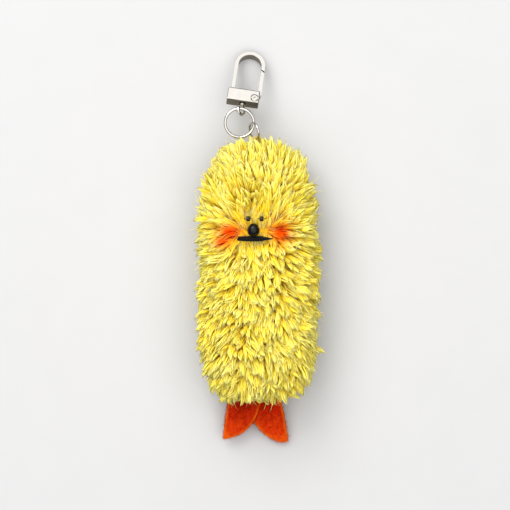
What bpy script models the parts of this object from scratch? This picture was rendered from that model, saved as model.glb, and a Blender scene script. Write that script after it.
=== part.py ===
"""Plush animal keychain: a stuffed fur tube with a bead face and a felt tail, hung from a swivel
snap hook by two jump rings.

The plush lies on its flat back. The origin is the centre of the flat back, +Z points up through
the face, +X points to the animal's left cheek and +Y runs from the tail towards the hook.
Sizes are written in millimetres, times MM.
"""

from math import atan, cos, hypot, pi, radians, sin, sqrt, tan

import bmesh
import bpy
from mathutils import Matrix, Vector

MM = 0.001
GAP = 0.3 * MM  # between pieces that touch on the real object

# Plush body: the dense pile's outer form, and the stuffed core inside it
BODY_HALF_WIDTH = 23.3 * MM
BODY_TOP = 50.8 * MM
BODY_BOTTOM = 51.5 * MM
BODY_HALF_HEIGHT = 18.5 * MM
BODY_CENTRE_Z = 16.5 * MM
PILE_SIDE = 5.5 * MM
PILE_BACK = 4.0 * MM
TOP_SQUARENESS = 3.2
BOTTOM_SQUARENESS = 4.6
SECTION_SQUARENESS = 2.3

# The seam between the front and back halves is a plane that rises towards the hook
SEAM_Z = 13.2 * MM
SEAM_RISE = 0.0465
SEAM_INSET = 2.2 * MM
THREAD_RADIUS = 0.35 * MM

# Face: a shallow dish in the pile, with the beads and the mouth in it
DISH_CENTRE = Vector((-2.0, 16.5, 43.0)) * MM
DISH_RADIUS = 12.6 * MM
EYES = {"eye_left": -4.1 * MM, "eye_right": 1.2 * MM}
EYE_Y = 20.4 * MM
EYE_RADIUS = 1.06 * MM
EYE_HOLE = 0.3 * MM
EYE_HALF_LENGTH = 0.82 * MM
EYE_THREAD_RADIUS = 0.15 * MM
EYE_THREAD_Z = 28.6 * MM
NOSE_CENTRE = Vector((-2.0, 16.0, 33.6)) * MM
NOSE_SEMI = Vector((2.5, 2.65, 2.4)) * MM
NOSE_TAPER = 0.12
SHANK_RADIUS = 0.8 * MM
SHANK_END_Z = 24.4 * MM
WASHER_Z = 27.0 * MM
WASHER_RADIUS = 2.6 * MM
WASHER_THICKNESS = 0.8 * MM
MOUTH_LEFT = -8.2 * MM
MOUTH_RIGHT = 5.1 * MM
MOUTH_Y = 12.3 * MM
MOUTH_RADIUS = 0.95 * MM

# Felt tail: two leaves, hinged on the bottom seam and drooping to their tips
TAIL_HINGE = Vector((0, -45.0, 11.1)) * MM
TAIL_DROOP = radians(17)
FELT = 1.4 * MM
TAIL_SWING = radians(28)

# Jump rings
RING_CENTRE = Vector((-7.6, 58.86, 14.17)) * MM
RING_RADIUS = 5.75 * MM
RING_WIRE = 0.6 * MM
RING_SPLIT = radians(116)
LINK_CENTRE = Vector((-1.74, 55.44, 15.81)) * MM
LINK_RADIUS = 3.5 * MM
LINK_WIRE = 0.5 * MM
LINK_HEADING = 0.244
LINK_LEAN = 1.077
LINK_SLOPE = -0.045
LINK_SPLIT = radians(-60)
SPLIT_WIDTH = radians(3)

# Hanging tab: a loop of woven tape round the link's lower end
TAPE = 0.5 * MM
TAB_EYE = 0.95 * MM
TAB_LENGTH = 9.0 * MM
TAB_WIDTH = 2.4 * MM

# Snap hook, in its own frame: A across the block, B from the block to the hook's top, C outwards
CLASP_ORIGIN = Vector((-6.5, 66.55, 12.87)) * MM
CLASP_TURN = radians(8.5)
CLASP_PITCH = radians(28.4)
BLOCK_HALF_WIDTH = 6.45 * MM
BLOCK_HEIGHT = 5.6 * MM
BLOCK_HALF_DEPTH = 2.5 * MM
HOOK_TOP = 23.6 * MM
HOOK_CENTRE_A = 0.8 * MM
HOOK_OUTER = 6.15 * MM
HOOK_BAR = 1.55 * MM
HOOK_HALF_DEPTH = 1.7 * MM
HOOK_ROOT_B = 2.0 * MM
HOOK_ROUNDING = 0.55 * MM
BLOCK_ROUNDING = 0.42 * MM
NOSE_OUTER_B = 15.2 * MM
NOSE_INNER_B = 16.4 * MM
PIN_A = 4.5 * MM
PIN_B = 2.1 * MM
PIN_RADIUS = 0.6 * MM
PIN_HEAD_RADIUS = 1.45 * MM
PIN_DIMPLE_RADIUS = 0.42 * MM
PIN_DIMPLE_DEPTH = 0.8 * MM
GATE_BAR = 1.45 * MM
GATE_HALF_DEPTH = 1.15 * MM
GATE_ROUNDING = 0.4 * MM
GATE_FOOT_RADIUS = 1.3 * MM
SLOT_HALF_DEPTH = 1.45 * MM
SLOT_LEFT_A = 2.6 * MM
SLOT_BOTTOM_B = 0.6 * MM
SPRING_RADIUS = 1.05 * MM
SPRING_WIRE = 0.125 * MM
EYE_LOOP_RADIUS = 1.95 * MM
EYE_LOOP_WIRE = 0.55 * MM
EYE_LOOP_B = -2.9 * MM
EYE_LOOP_TURN = -0.875
STEM_RADIUS = 0.8 * MM
STEM_BORE = 1.1 * MM
HEAD_RADIUS = 1.35 * MM
HEAD_BORE = 1.65 * MM
HEAD_SEAT_B = 3.8 * MM


# ---------------------------------------------------------------- helpers


def clear_scene():
    for old in list(bpy.data.objects):
        bpy.data.objects.remove(old)


def new_collection(name):
    collection = bpy.data.collections.new(name)
    bpy.context.scene.collection.children.link(collection)
    return collection


def material(name, colour, roughness, metallic=0.0):
    made = bpy.data.materials.new(name)
    made.use_nodes = True
    shader = made.node_tree.nodes["Principled BSDF"]
    shader.inputs["Base Color"].default_value = (*colour, 1)
    shader.inputs["Roughness"].default_value = roughness
    shader.inputs["Metallic"].default_value = metallic
    return made


def add_mesh(name, bm, finish=None, matrix=None):
    """An object from a bmesh. A cutter is one without a finish."""
    bmesh.ops.recalc_face_normals(bm, faces=bm.faces)
    if bm.calc_volume(signed=True) < 0:
        bmesh.ops.reverse_faces(bm, faces=bm.faces)
    mesh = bpy.data.meshes.new(name)
    bm.to_mesh(mesh)
    bm.free()
    obj = bpy.data.objects.new(name, mesh)
    if matrix is not None:
        obj.matrix_world = matrix
    if finish is None:
        CUTTERS.objects.link(obj)
        obj.hide_render = True
        obj.display_type = "WIRE"
    else:
        PARTS.objects.link(obj)
        mesh.materials.append(finish)
        mesh.shade_smooth()
        mesh.set_sharp_from_angle(angle=radians(40))
    return obj


def curve_bmesh(curve):
    """The mesh of a curve, with its loose caps welded on."""
    holder = bpy.data.objects.new("curve_holder", curve)
    PARTS.objects.link(holder)
    depsgraph = bpy.context.evaluated_depsgraph_get()
    mesh = bpy.data.meshes.new_from_object(holder.evaluated_get(depsgraph))
    bm = bmesh.new()
    bm.from_mesh(mesh)
    bmesh.ops.remove_doubles(bm, verts=bm.verts, dist=0.002 * MM)
    bpy.data.objects.remove(holder)
    bpy.data.meshes.remove(mesh)
    return bm


def tube(points, radius, cyclic=False, radii=None, sides=2):
    """A round tube along points. radii scales the radius at each point."""
    curve = bpy.data.curves.new("tube", "CURVE")
    curve.dimensions = "3D"
    curve.bevel_depth = radius
    curve.bevel_resolution = sides
    curve.use_fill_caps = not cyclic
    spline = curve.splines.new("POLY")
    spline.points.add(len(points) - 1)
    for index, (knot, place) in enumerate(zip(spline.points, points)):
        knot.co = (*place, 1)
        knot.radius = radii[index] if radii else 1
    spline.use_cyclic_u = cyclic
    return curve_bmesh(curve)


def plate(outline, half_thickness):
    """A flat outline in the XY plane, filled and thickened both ways."""
    curve = bpy.data.curves.new("plate", "CURVE")
    curve.dimensions = "2D"
    curve.fill_mode = "BOTH"
    curve.extrude = half_thickness
    for loop in outline:
        spline = curve.splines.new("POLY")
        spline.points.add(len(loop) - 1)
        for knot, (x, y) in zip(spline.points, loop):
            knot.co = (x, y, 0, 1)
        spline.use_cyclic_u = True
    return curve_bmesh(curve)


def box(low, high):
    bm = bmesh.new()
    size = Vector(high) - Vector(low)
    middle = (Vector(high) + Vector(low)) / 2
    place = Matrix.Translation(middle) @ Matrix.Diagonal((*size, 1))
    bmesh.ops.create_cube(bm, size=1, matrix=place)
    return bm


def rod(centre, radius, low, high, segments=24):
    """A cylinder along Z between the heights low and high."""
    bm = bmesh.new()
    place = Matrix.Translation((centre[0], centre[1], (low + high) / 2))
    bmesh.ops.create_cone(
        bm,
        cap_ends=True,
        segments=segments,
        radius1=radius,
        radius2=radius,
        depth=high - low,
        matrix=place,
    )
    return bm


def turned(profile, segments=24):
    """A profile of (radius, height) points, turned about Z. It starts and ends on the axis."""
    mesh = bpy.data.meshes.new("profile")
    bm = bmesh.new()
    corners = [bm.verts.new((radius, 0, height)) for radius, height in profile]
    for first, second in zip(corners, corners[1:]):
        bm.edges.new((first, second))
    bm.to_mesh(mesh)
    bm.free()
    holder = bpy.data.objects.new("profile", mesh)
    PARTS.objects.link(holder)
    screw = holder.modifiers.new("turn", "SCREW")
    screw.steps = segments
    screw.render_steps = segments
    screw.use_merge_vertices = True
    screw.merge_threshold = 0.00001
    depsgraph = bpy.context.evaluated_depsgraph_get()
    solid = bpy.data.meshes.new_from_object(holder.evaluated_get(depsgraph))
    bm = bmesh.new()
    bm.from_mesh(solid)
    bpy.data.objects.remove(holder)
    return bm


def arc(centre, radius, start, end, steps):
    """Points on a flat arc, from the angle start to the angle end."""
    angles = [start + (end - start) * step / steps for step in range(steps + 1)]
    return [
        (centre[0] + radius * cos(angle), centre[1] + radius * sin(angle)) for angle in angles
    ]


def boolean(obj, operation, other):
    change = obj.modifiers.new(operation.lower(), "BOOLEAN")
    change.operation = operation
    change.object = other
    return change


def cut(obj, *cutters):
    for cutter in cutters:
        boolean(obj, "DIFFERENCE", cutter)


def frame_matrix(origin, x_axis, y_axis):
    """The matrix of a frame at origin with two of its axes given."""
    z_axis = x_axis.cross(y_axis).normalized()
    y_axis = z_axis.cross(x_axis).normalized()
    turn = Matrix((x_axis.normalized(), y_axis, z_axis)).transposed().to_4x4()
    return Matrix.Translation(origin) @ turn


# ---------------------------------------------------------------- plush body


def signed_power(value, power):
    return (1 if value >= 0 else -1) * abs(value) ** power


def body_form(inset, back, segments, rings):
    """The plush's rounded tube, inset from the pile's outer form and flat at the height back."""
    bm = bmesh.new()
    bmesh.ops.create_uvsphere(bm, u_segments=segments, v_segments=rings, radius=1)
    for vert in bm.verts:
        along = vert.co.z
        around = hypot(vert.co.x, vert.co.y)
        squareness = TOP_SQUARENESS if along > 0 else BOTTOM_SQUARENESS
        length = (BODY_TOP if along > 0 else BODY_BOTTOM) - inset
        across = abs(around) ** (2 / squareness)
        side = vert.co.x / around if around > 1e-6 else 0
        height = -vert.co.y / around if around > 1e-6 else 0
        x = signed_power(side, 2 / SECTION_SQUARENESS) * across * (BODY_HALF_WIDTH - inset)
        z = signed_power(height, 2 / SECTION_SQUARENESS) * across * (BODY_HALF_HEIGHT - inset)
        y = signed_power(along, 2 / squareness) * length
        vert.co = (x, y, max(BODY_CENTRE_Z + z, back))
    return bm


def seam_height(y):
    return SEAM_Z + SEAM_RISE * y


def half_space(name, side):
    """A box that holds everything above (side 1) or below (side -1) the seam."""
    reach = 80 * MM
    low, high = (GAP / 2, reach) if side > 0 else (-reach, -GAP / 2)
    turn = Matrix.Rotation(atan(SEAM_RISE), 4, "X")
    place = Matrix.Translation((0, 0, SEAM_Z)) @ turn
    return add_mesh(name, box((-reach, -reach, low), (reach, reach, high)), matrix=place)


def dish_height(x, y):
    """The height of the face dish's surface."""
    away = hypot(x - DISH_CENTRE.x, y - DISH_CENTRE.y)
    return DISH_CENTRE.z - sqrt(DISH_RADIUS**2 - away**2)


def seam_path(side):
    """Points of the sewn seam on one side of the body, from the tab to the tail."""
    points = []
    steps = 26
    for step in range(steps + 1):
        angle = radians(64) - radians(128) * step / steps
        squareness = TOP_SQUARENESS if angle > 0 else BOTTOM_SQUARENESS
        length = (BODY_TOP if angle > 0 else BODY_BOTTOM) - PILE_SIDE + SEAM_INSET
        x = side * cos(angle) ** (2 / squareness) * (BODY_HALF_WIDTH - PILE_SIDE + SEAM_INSET)
        y = signed_power(sin(angle), 2 / squareness) * length
        points.append(Vector((x, y, seam_height(y))))
    return points


def make_body():
    core = add_mesh("core_cutter", body_form(PILE_SIDE, PILE_BACK, 32, 20))
    facet_allowance = 1.012  # the cutter's flat facets stay outside the true sphere
    dish = bmesh.new()
    bmesh.ops.create_icosphere(
        dish,
        subdivisions=3,
        radius=DISH_RADIUS * facet_allowance,
        matrix=Matrix.Translation(DISH_CENTRE),
    )
    dish = add_mesh("dish_cutter", dish)
    fur = {}
    for name, side in (("fur_front", 1), ("fur_back", -1)):
        fur[name] = add_mesh(name, body_form(0, 0, 36, 24), FUR)
        boolean(fur[name], "INTERSECT", half_space(name + "_side", side))
        cut(fur[name], core)
    stuffing = add_mesh(
        "stuffing", body_form(PILE_SIDE + GAP, PILE_BACK + GAP, 28, 18), FILL
    )
    cut(fur["fur_front"], dish)
    for name, side in (("seam_thread_left", -1), ("seam_thread_right", 1)):
        add_mesh(name, tube(seam_path(side), THREAD_RADIUS), THREAD)
        groove = add_mesh(name + "_groove", tube(seam_path(side), THREAD_RADIUS + GAP))
        cut(fur["fur_front"], groove)
        cut(fur["fur_back"], groove)
    return fur, stuffing


# ---------------------------------------------------------------- face


def eye_thread_path():
    """The thread: up beside each bead, through it along X, down again, and across inside."""
    points = []
    bead_z = eye_height()
    for x in EYES.values():
        outside = 1.55 * MM
        shoulder = 1.0 * MM
        for dx, z in (
            (-outside, EYE_THREAD_Z),
            (-outside, bead_z - shoulder),
            (-shoulder, bead_z),
            (shoulder, bead_z),
            (outside, bead_z - shoulder),
            (outside, EYE_THREAD_Z),
        ):
            points.append(Vector((x + dx, EYE_Y, z)))
    return points


def eye_height():
    rim = max(dish_height(x, EYE_Y) for x in EYES.values())
    end_allowance = 0.15 * MM  # the dish rises towards a bead's outer end
    return rim + GAP + end_allowance + EYE_RADIUS


def make_face(fur, stuffing):
    sideways = Matrix.Rotation(radians(90), 4, "Y")
    for name, x in EYES.items():
        place = Matrix.Translation((x, EYE_Y, eye_height())) @ sideways
        add_mesh(name, seed_bead(), BLACK_BEAD, place)
    path = eye_thread_path()
    add_mesh("eye_thread", tube(path, EYE_THREAD_RADIUS), BLACK_YARN)
    passage = add_mesh("eye_thread_passage", tube(path, EYE_THREAD_RADIUS + GAP))

    nose = bmesh.new()
    bmesh.ops.create_uvsphere(nose, u_segments=28, v_segments=18, radius=1)
    for vert in nose.verts:
        width = NOSE_SEMI.x * (1 - NOSE_TAPER * vert.co.y)
        scaled = (vert.co.x * width, vert.co.y * NOSE_SEMI.y, vert.co.z * NOSE_SEMI.z)
        vert.co = NOSE_CENTRE + Vector(scaled)
    nose = add_mesh("nose_bead", nose, BLACK_BEAD)
    shank = rod(NOSE_CENTRE, SHANK_RADIUS, SHANK_END_Z, NOSE_CENTRE.z, 16)
    boolean(nose, "UNION", add_mesh("nose_shank", shank))
    washer_top = WASHER_Z + WASHER_THICKNESS
    washer = rod(NOSE_CENTRE, WASHER_RADIUS, WASHER_Z, washer_top)
    washer = add_mesh("nose_washer", washer, BLACK_BEAD)
    shank_hole = rod(NOSE_CENTRE, SHANK_RADIUS + GAP, SHANK_END_Z - GAP, NOSE_CENTRE.z, 16)
    shank_hole = add_mesh("shank_hole", shank_hole)
    washer_pocket = rod(NOSE_CENTRE, WASHER_RADIUS + GAP, WASHER_Z - GAP, washer_top + 2 * MM)
    washer_pocket = add_mesh("washer_pocket", washer_pocket)

    mouth = []
    radii = []
    steps = 14
    for step in range(steps + 1):
        share = step / steps
        x = MOUTH_LEFT + (MOUTH_RIGHT - MOUTH_LEFT) * share
        swell = 0.55 + 0.45 * sin(pi * min(1, share / 0.9))
        fade = 1 if share < 0.6 else 1 - 0.8 * (share - 0.6) / 0.4
        radii.append(swell * fade)
        z = dish_height(x, MOUTH_Y) + GAP + MOUTH_RADIUS * radii[-1]
        mouth.append(Vector((x, MOUTH_Y, z)))
    add_mesh("mouth_yarn", tube(mouth, MOUTH_RADIUS, radii=radii), BLACK_YARN)

    cut(washer, shank_hole)
    cut(fur["fur_front"], passage, shank_hole)
    cut(stuffing, passage, shank_hole, washer_pocket)


def seed_bead():
    """A rounded bead with its hole along Z."""
    middle = (EYE_RADIUS + EYE_HOLE) / 2
    half_wall = (EYE_RADIUS - EYE_HOLE) / 2
    around, along = 24, 12
    bm = bmesh.new()
    rows = []
    for step in range(along):
        angle = 2 * pi * step / along
        radius = middle + half_wall * cos(angle)
        height = EYE_HALF_LENGTH * sin(angle)
        rows.append([])
        for turn in range(around):
            heading = 2 * pi * turn / around
            place = (radius * cos(heading), radius * sin(heading), height)
            rows[-1].append(bm.verts.new(place))
    for step, row in enumerate(rows):
        following = rows[(step + 1) % along]
        for turn in range(around):
            beside = (turn + 1) % around
            bm.faces.new((row[turn], row[beside], following[beside], following[turn]))
    return bm


def circle_points(radius, count):
    angles = [2 * pi * step / count for step in range(count)]
    return [Vector((radius * cos(angle), radius * sin(angle), 0)) for angle in angles]


# ---------------------------------------------------------------- felt tail


def tail_matrix():
    return Matrix.Translation(TAIL_HINGE) @ Matrix.Rotation(TAIL_DROOP, 4, "X")


def leaf(corners, lift):
    """A felt leaf from corners in the seen plan, in mm, laid out flat in the drooping plane."""
    outline = [
        (x * MM, (y * MM - TAIL_HINGE.y) / cos(TAIL_DROOP)) for x, y in corners
    ]
    bm = plate([outline], FELT / 2)
    bmesh.ops.translate(bm, verts=bm.verts, vec=(0, 0, lift))
    return bm


def make_tail(fur, stuffing):
    left = [(-8.6, -43.4), (-10.6, -46.5), (-12.0, -51.0), (-13.2, -58.5), (-14.2, -66.2)]
    left += arc((-13.2, -66.8), 1.0, radians(170), radians(255), 4)
    left += [(-10.4, -67.0), (-7.0, -65.7), (-4.6, -63.8), (-2.1, -60.9), (-0.2, -57.1)]
    left += [(1.6, -50.5), (2.4, -43.4)]
    right = [(-3.6, -43.4), (-5.0, -50.0), (-4.0, -57.0), (-1.9, -61.3), (0.4, -64.3)]
    right += [(3.2, -66.9), (6.4, -68.8), (9.0, -69.5)]
    right += arc((11.0, -68.6), 0.9, radians(255), radians(370), 4)
    right += [(11.2, -63.5), (10.1, -57.5), (8.9, -51.5), (8.2, -46.5), (7.0, -43.4)]
    lift = (FELT + GAP) / 2
    for name, corners, height in (
        ("tail_leaf_left", left, lift),
        ("tail_leaf_right", right, -lift),
    ):
        add_mesh(name, leaf(corners, height), FELT_RED, tail_matrix())

    # A wedge of room round the hinge, as wide as the leaves swing
    room = bmesh.new()
    reach = 16 * MM
    swing = TAIL_SWING + radians(6)
    flare = reach * tan(swing)
    near = FELT + 2.5 * GAP
    sides = {-3.0 * MM: near, 0.0: near, reach: near + flare}
    profile = [(-along, -high) for along, high in sides.items()]
    profile += [(-along, high) for along, high in reversed(sides.items())]
    wedge = plate([profile], 14 * MM)
    room = add_mesh("tail_room", wedge)
    upright = Matrix(((0, 0, 1, 0), (1, 0, 0, 0), (0, 1, 0, 0), (0, 0, 0, 1)))
    room.matrix_world = tail_matrix() @ upright
    cut(fur["fur_front"], room)
    cut(fur["fur_back"], room)
    cut(stuffing, room)


# ---------------------------------------------------------------- rings and tab


def split_ring(radius, wire, split, steps):
    """A wire ring with a narrow butt gap at the angle split."""
    points = []
    for step in range(steps + 1):
        angle = split + SPLIT_WIDTH / 2 + (2 * pi - SPLIT_WIDTH) * step / steps
        points.append(Vector((radius * cos(angle), radius * sin(angle), 0)))
    return tube(points, wire)


def link_axes():
    """The small ring's directions: down its length, and across it."""
    down = Vector((sin(LINK_HEADING), -cos(LINK_HEADING), LINK_SLOPE)).normalized()
    level = Vector((cos(LINK_HEADING), sin(LINK_HEADING), 0))
    across = cos(LINK_LEAN) * level + Vector((0, 0, sin(LINK_LEAN)))
    across = (across - down * across.dot(down)).normalized()
    return down, across


def make_rings(fur, stuffing):
    ring = split_ring(RING_RADIUS, RING_WIRE, RING_SPLIT, 44)
    add_mesh("jump_ring", ring, NICKEL, Matrix.Translation(RING_CENTRE))
    down, across = link_axes()
    link_frame = frame_matrix(LINK_CENTRE, down, across)
    link = split_ring(LINK_RADIUS, LINK_WIRE, LINK_SPLIT, 32)
    add_mesh("link_ring", link, NICKEL, link_frame)

    # The tab's outline runs round the link's lower end and back into the seam
    eye = LINK_CENTRE + LINK_RADIUS * down
    tab_frame = frame_matrix(eye, down, down.cross(across))
    outer = TAB_EYE + TAPE
    loops = []
    for half, end in ((outer, TAB_LENGTH), (TAB_EYE, TAB_LENGTH - TAPE)):
        loops.append(arc((0, 0), half, radians(90), radians(270), 10) + [(end, -half), (end, half)])
    add_mesh("hanging_tab", plate(loops, TAB_WIDTH / 2), TAPE_WEAVE, tab_frame)
    room = box(
        (-4 * MM, -outer - GAP, -TAB_WIDTH / 2 - GAP),
        (TAB_LENGTH + GAP, outer + GAP, TAB_WIDTH / 2 + GAP),
    )
    room = add_mesh("tab_room", room, matrix=tab_frame)
    cut(fur["fur_front"], room)
    cut(fur["fur_back"], room)
    cut(stuffing, room)


# ---------------------------------------------------------------- snap hook


def clasp_matrix():
    """The hook's frame: X is A, Y is B and Z is C."""
    level = cos(CLASP_PITCH)
    up_hook = Vector((sin(CLASP_TURN) * level, cos(CLASP_TURN) * level, -sin(CLASP_PITCH)))
    across = Vector((cos(CLASP_TURN), -sin(CLASP_TURN), 0))
    return frame_matrix(CLASP_ORIGIN, across, up_hook)


def hook_outline():
    """A J from the block up the fixed bar, round the top and down to the nose."""
    inner = HOOK_OUTER - HOOK_BAR
    centre = (HOOK_CENTRE_A, HOOK_TOP - HOOK_OUTER)
    left = HOOK_CENTRE_A - HOOK_OUTER
    right = HOOK_CENTRE_A + HOOK_OUTER
    outside = [(left, HOOK_ROOT_B)] + arc(centre, HOOK_OUTER, pi, 0, 22)
    nose = [(right, NOSE_OUTER_B), (right - HOOK_BAR, NOSE_INNER_B)]
    inside = arc(centre, inner, 0, pi, 20) + [(left + HOOK_BAR, HOOK_ROOT_B)]
    return outside + nose + inside


def rounded(obj, width, segments=3):
    bevel = obj.modifiers.new("rounded", "BEVEL")
    bevel.width = width
    bevel.segments = segments
    bevel.limit_method = "ANGLE"
    bevel.angle_limit = radians(50)
    return obj


def along_b(bm):
    """Turns a piece made along Z so that it runs along the hook's B axis."""
    bmesh.ops.rotate(bm, verts=bm.verts, matrix=Matrix.Rotation(radians(-90), 3, "X"))
    return bm


def make_clasp():
    frame = clasp_matrix()
    block = box(
        (-BLOCK_HALF_WIDTH, 0, -BLOCK_HALF_DEPTH),
        (BLOCK_HALF_WIDTH, BLOCK_HEIGHT, BLOCK_HALF_DEPTH),
    )
    body = rounded(add_mesh("clasp_body", block, NICKEL, frame), BLOCK_ROUNDING)
    hook = add_mesh("hook_bar", plate([hook_outline()], HOOK_HALF_DEPTH), matrix=frame)
    boolean(body, "UNION", rounded(hook, HOOK_ROUNDING))
    bore = along_b(rod((0, 0), STEM_BORE, -1 * MM, BLOCK_HEIGHT - 1 * MM))
    seat = along_b(rod((0, 0), HEAD_BORE, HEAD_SEAT_B, BLOCK_HEIGHT + 1 * MM))
    slot = box(
        (SLOT_LEFT_A, SLOT_BOTTOM_B, -SLOT_HALF_DEPTH),
        (BLOCK_HALF_WIDTH + 2 * MM, BLOCK_HEIGHT + 1 * MM, SLOT_HALF_DEPTH),
    )
    pin = (PIN_A, PIN_B)
    pin_hole = rod(pin, PIN_RADIUS + 0.2 * MM, -4 * MM, 4 * MM, 16)
    recess = rod(pin, PIN_HEAD_RADIUS + 0.2 * MM, BLOCK_HALF_DEPTH - 0.6 * MM, 4 * MM)
    cutters = {
        "stem_bore": bore,
        "head_seat": seat,
        "gate_slot": slot,
        "pin_hole": pin_hole,
        "pin_recess": recess,
    }
    cut(body, *[add_mesh(name, bm, matrix=frame) for name, bm in cutters.items()])
    make_gate(frame)
    make_swivel(frame)


def make_gate(frame):
    right = HOOK_CENTRE_A + HOOK_OUTER
    left = right - GATE_BAR
    pin = (PIN_A, PIN_B)
    outline = [(right, 4.6 * MM), (right, NOSE_OUTER_B - GAP), (left, NOSE_INNER_B - GAP)]
    outline += [(left, 5.6 * MM)]
    outline += arc(pin, GATE_FOOT_RADIUS, radians(150), radians(350), 12)
    gate = add_mesh("gate_lever", plate([outline], GATE_HALF_DEPTH), NICKEL, frame)
    rounded(gate, GATE_ROUNDING)
    hole = rod(pin, PIN_RADIUS + 0.2 * MM, -3 * MM, 3 * MM, 16)
    coil_room = rod(pin, 1.75 * MM, 0.1 * MM, 3 * MM)
    cut(
        gate,
        add_mesh("gate_pin_hole", hole, matrix=frame),
        add_mesh("coil_room", coil_room, matrix=frame),
    )

    head_top = BLOCK_HALF_DEPTH + 0.15 * MM
    head_under = BLOCK_HALF_DEPTH - 0.3 * MM
    profile = [
        (0, head_top - PIN_DIMPLE_DEPTH),
        (PIN_DIMPLE_RADIUS, head_top - PIN_DIMPLE_DEPTH),
        (PIN_DIMPLE_RADIUS + 0.1 * MM, head_top),
        (PIN_HEAD_RADIUS - 0.2 * MM, head_top),
        (PIN_HEAD_RADIUS, head_top - 0.2 * MM),
        (PIN_HEAD_RADIUS, head_under),
        (PIN_RADIUS, head_under),
        (PIN_RADIUS, -BLOCK_HALF_DEPTH + 0.1 * MM),
        (0, -BLOCK_HALF_DEPTH + 0.1 * MM),
    ]
    pin_frame = frame @ Matrix.Translation((PIN_A, PIN_B, 0))
    add_mesh("gate_pin", turned(profile, 20), NICKEL, pin_frame)

    coil = []
    turns = 2.25
    steps = 27
    low, high = 0.4 * MM, 1.15 * MM
    for step in range(steps + 1):
        angle = 2 * pi * turns * step / steps
        height = low + (high - low) * step / steps
        coil.append(Vector((SPRING_RADIUS * cos(angle), SPRING_RADIUS * sin(angle), height)))
    add_mesh("gate_spring", tube(coil, SPRING_WIRE, sides=0), SPRING_STEEL, pin_frame)


def make_swivel(frame):
    head_low = HEAD_SEAT_B + GAP
    head_high = head_low + 0.9 * MM
    profile = [
        (0, head_high),
        (HEAD_RADIUS - 0.3 * MM, head_high),
        (HEAD_RADIUS, head_high - 0.3 * MM),
        (HEAD_RADIUS, head_low),
        (STEM_RADIUS, head_low),
        (STEM_RADIUS, -0.3 * MM),
        (1.3 * MM, -0.3 * MM),
        (1.3 * MM, -0.75 * MM),
        (0.7 * MM, -1.0 * MM),
        (0, -1.0 * MM),
    ]
    stem = turned(profile, 20)
    stem_frame = frame @ Matrix.Rotation(radians(-90), 4, "X")
    eye = add_mesh("swivel_eye", stem, NICKEL, stem_frame)
    loop_frame = frame @ Matrix.Rotation(-EYE_LOOP_TURN, 4, "Y")
    loop_frame = loop_frame @ Matrix.Translation((0, EYE_LOOP_B, 0))
    loop = tube(circle_points(EYE_LOOP_RADIUS, 28), EYE_LOOP_WIRE, cyclic=True)
    boolean(eye, "UNION", add_mesh("eye_loop", loop, matrix=loop_frame))


# ---------------------------------------------------------------- assembly

clear_scene()
PARTS = new_collection("plush_keychain")
CUTTERS = new_collection("cutters")
FUR = material("pale_yellow_fur", (0.85, 0.70, 0.20), 0.9)
FILL = material("fibrefill", (0.90, 0.88, 0.82), 0.95)
THREAD = material("yellow_thread", (0.80, 0.62, 0.12), 0.8)
TAPE_WEAVE = material("woven_tape", (0.86, 0.76, 0.35), 0.85)
FELT_RED = material("orange_red_felt", (0.60, 0.08, 0.01), 0.95)
BLACK_BEAD = material("black_bead", (0.01, 0.01, 0.012), 0.15)
BLACK_YARN = material("black_yarn", (0.012, 0.012, 0.014), 0.9)
NICKEL = material("polished_nickel", (0.78, 0.77, 0.75), 0.12, 1.0)
SPRING_STEEL = material("spring_steel", (0.55, 0.55, 0.56), 0.3, 1.0)

fur_halves, fill_core = make_body()
make_face(fur_halves, fill_core)
make_tail(fur_halves, fill_core)
make_rings(fur_halves, fill_core)
make_clasp()
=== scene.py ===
from math import cos, hypot, pi, radians, sin, sqrt

import bmesh
import bpy
import numpy as np
from mathutils import Matrix, Vector


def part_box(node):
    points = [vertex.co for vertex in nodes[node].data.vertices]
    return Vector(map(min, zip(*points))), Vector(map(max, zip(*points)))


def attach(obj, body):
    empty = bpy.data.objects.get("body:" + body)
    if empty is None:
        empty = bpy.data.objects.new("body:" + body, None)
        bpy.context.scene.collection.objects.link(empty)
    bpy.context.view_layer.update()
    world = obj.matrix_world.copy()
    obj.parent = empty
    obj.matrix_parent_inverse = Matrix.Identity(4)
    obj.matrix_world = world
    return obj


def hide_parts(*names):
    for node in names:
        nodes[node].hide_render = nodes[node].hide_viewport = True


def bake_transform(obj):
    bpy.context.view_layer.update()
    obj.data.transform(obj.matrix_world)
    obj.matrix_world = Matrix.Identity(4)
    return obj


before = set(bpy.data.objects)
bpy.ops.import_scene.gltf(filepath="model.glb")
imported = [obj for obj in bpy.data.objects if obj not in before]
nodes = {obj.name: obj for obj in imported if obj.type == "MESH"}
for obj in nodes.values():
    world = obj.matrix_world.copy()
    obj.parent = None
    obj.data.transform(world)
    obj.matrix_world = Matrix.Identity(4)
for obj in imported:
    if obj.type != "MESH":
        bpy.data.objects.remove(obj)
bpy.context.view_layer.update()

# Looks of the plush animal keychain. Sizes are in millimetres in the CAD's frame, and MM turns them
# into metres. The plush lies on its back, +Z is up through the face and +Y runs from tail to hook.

MM = 0.001

# The plush's form, as in the CAD: a rounded tube with a dense pile on a stuffed core
BODY_HALF_WIDTH = 23.3
BODY_TOP = 50.8
BODY_BOTTOM = 51.5
BODY_HALF_HEIGHT = 18.5
BODY_CENTRE_Z = 16.5
PILE_SIDE = 5.5
PILE_BACK = 4.0
TOP_SQUARENESS = 3.2
BOTTOM_SQUARENESS = 4.6
SECTION_SQUARENESS = 2.3
DISH_CENTRE = (-2.0, 16.5, 43.0)
DISH_RADIUS = 12.6

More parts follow.
